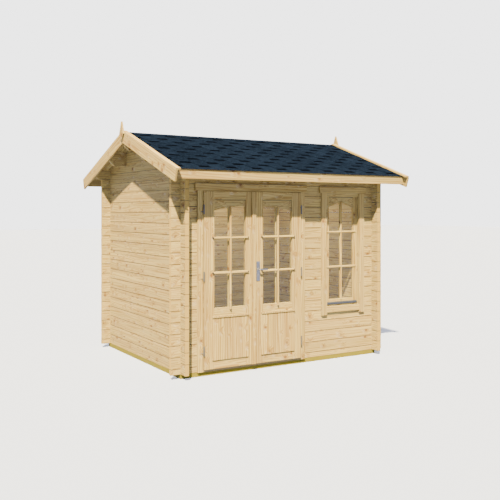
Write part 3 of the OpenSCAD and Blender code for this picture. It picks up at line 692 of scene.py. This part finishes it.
def bars(name, pane, body, heights, top, faces, depths, left_over, right_over, low_over):
    """Glazing bars on both sides of a pane."""
    lo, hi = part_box(pane)
    mid = (lo.x + hi.x) / 2
    for label, y, (near, far), d in zip(("out", "in"), faces, depths, (CROSS_SHIFT, -CROSS_SHIFT)):
        ya, yb = y + near, y + far
        bm = bmesh.new()
        add_box(bm, (mid - UPRIGHT_HALF, ya, lo.z - low_over), (mid + UPRIGHT_HALF, yb, top + BAR_UP), BAR_BEVEL)
        finish_piece(name + "_upright_" + label, bm, ["door_z"], body)
        bm = bmesh.new()
        for h in heights:
            add_box(bm, (lo.x - left_over, ya + d, h - CROSS_HALF),
                    (hi.x + right_over, yb + d, h + CROSS_HALF), BAR_BEVEL)
        finish_piece(name + "_cross_" + label, bm, ["door_x"], body)


def clip(bm, x, face, z):
    """Round button that holds the end of a glazing bar on the face of the leaf."""
    place = Matrix.Translation((x, face + (CLIP_IN - CLIP_OUT) / 2, z))
    turn = Matrix.Rotation(math.radians(90), 4, "X")
    bmesh.ops.create_cone(bm, cap_ends=True, segments=CLIP_SIDES, radius1=CLIP_R, radius2=CLIP_TAPER * CLIP_R,
                          depth=CLIP_OUT + CLIP_IN, matrix=place @ turn)


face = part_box("left_leaf_stiles")[0].y
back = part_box("left_leaf_stiles")[1].y
for side in ("left", "right"):
    lo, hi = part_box(side + "_leaf_glass")
    bars(side + "_bars", side + "_leaf_glass", side + "_leaf", DOOR_BARS, hi.z - RISE / 4,
         (face, back), DOOR_DEPTHS, BAR_LEFT, BAR_RIGHT, BAR_LOW)
    bm = bmesh.new()
    for h in DOOR_BARS:
        clip(bm, lo.x - BAR_LEFT, face, h)
        clip(bm, hi.x + BAR_RIGHT, face, h)
    clip(bm, (lo.x + hi.x) / 2, face, lo.z - BAR_LOW)
    finish_piece(side + "_bar_clips", bm, ["clip"], side + "_leaf")
    lo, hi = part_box(side + "_leaf_panels")
    front = face - PANEL_OUT
    bm = bmesh.new()
    step = (hi.x - lo.x) / PANEL_BOARDS
    for i in range(PANEL_BOARDS):
        a = lo.x + i * step
        add_box(bm, (a + BOARD_GAP, front - BOARD_OUT, lo.z + BOARD_LOW),
                (a + step - BOARD_GAP, front + BOARD_IN, PANEL_TOP), BOARD_BEVEL)
    finish_piece(side + "_panel_boards", bm, ["door_z"], side + "_leaf")
bars("window_bars", "window_glass", "cabin", WINDOW_BARS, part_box("window_glass")[1].z,
     (win_lo.y, win_hi.y), WINDOW_DEPTHS, WIN_BAR_SIDE, WIN_BAR_SIDE, WIN_BAR_LOW)

# Floor under the cabin

bpy.ops.mesh.primitive_plane_add(size=120.0, location=(0, 0, -0.0005))
ground = bpy.context.object
ground.name = "floor_plane"
ground.data.materials.append(stage_floor("pale_floor"))

# Light: a soft sky that the camera sees as white, the sun, a fill from behind and one in the room

SKY, SKY_POWER, WHITE_POWER = (0.405, 0.54, 1.08, 1.0), 0.56, 3.6
world = bpy.data.worlds.new("studio")
bpy.context.scene.world = world
world.use_nodes = True
wt = world.node_tree
wt.nodes.clear()
soft = wt.nodes.new("ShaderNodeBackground")
soft.inputs[0].default_value = SKY
soft.inputs[1].default_value = SKY_POWER
white = wt.nodes.new("ShaderNodeBackground")
white.inputs[0].default_value = (1.0, 1.0, 1.0, 1.0)
white.inputs[1].default_value = WHITE_POWER
path = wt.nodes.new("ShaderNodeLightPath")
both = wt.nodes.new("ShaderNodeMixShader")
sky = wt.nodes.new("ShaderNodeOutputWorld")
wt.links.new(path.outputs["Is Camera Ray"], both.inputs[0])
wt.links.new(soft.outputs[0], both.inputs[1])
wt.links.new(white.outputs[0], both.inputs[2])
wt.links.new(both.outputs[0], sky.inputs[0])


def lamp(name, kind, where, aim, power, color, **props):
    """Light at a place, turned to another."""
    data = bpy.data.lights.new(name, kind)
    data.energy = power
    data.color = color
    for k, v in props.items():
        setattr(data, k, v)
    ob = bpy.data.objects.new(name, data)
    ob.location = where
    ob.rotation_euler = (Vector(aim) - Vector(where)).to_track_quat("-Z", "Y").to_euler()
    bpy.context.scene.collection.objects.link(ob)
    return ob


lamp("key", "SUN", (-3.25, -4.0, 6.3), (0, 0, 0), 13.5, (1.0, 0.92, 0.72), angle=math.radians(1.5))
rear = lamp("rear_fill", "SUN", (4.0, 5.0, 4.5), (0, 0, 0), 3.6, (1.0, 0.95, 0.86), use_shadow=False)
inner = lamp("room_fill", "AREA", (0, 0.1, 2.1), (0, 0.1, 0), 30.0, (1.0, 0.94, 0.82),
             shape="RECTANGLE", size=1.8, size_y=1.3)
rear.visible_glossy = False
inner.visible_camera = False
inner.visible_glossy = False

# Camera, level, with the photo's focal length and centre in pixels of its 500

PIXELS, FOCAL, CENTRE_X, CENTRE_Y = 500, 705.52, 248.185, 212.195
SENSOR = 36.0
cam_data = bpy.data.cameras.new("camera")
cam = bpy.data.objects.new("camera", cam_data)
bpy.context.scene.collection.objects.link(cam)
bpy.context.scene.camera = cam
cam.location = (-4.2803, -7.2675, 1.64105)
cam.rotation_euler = (math.radians(90), 0, math.radians(-31.284))
cam_data.sensor_width = SENSOR
cam_data.lens = FOCAL / PIXELS * SENSOR
cam_data.shift_x = (PIXELS / 2 - CENTRE_X) / PIXELS
cam_data.shift_y = (CENTRE_Y - PIXELS / 2) / PIXELS
cam_data.dof.use_dof = False
cam_data.clip_end = 200.0
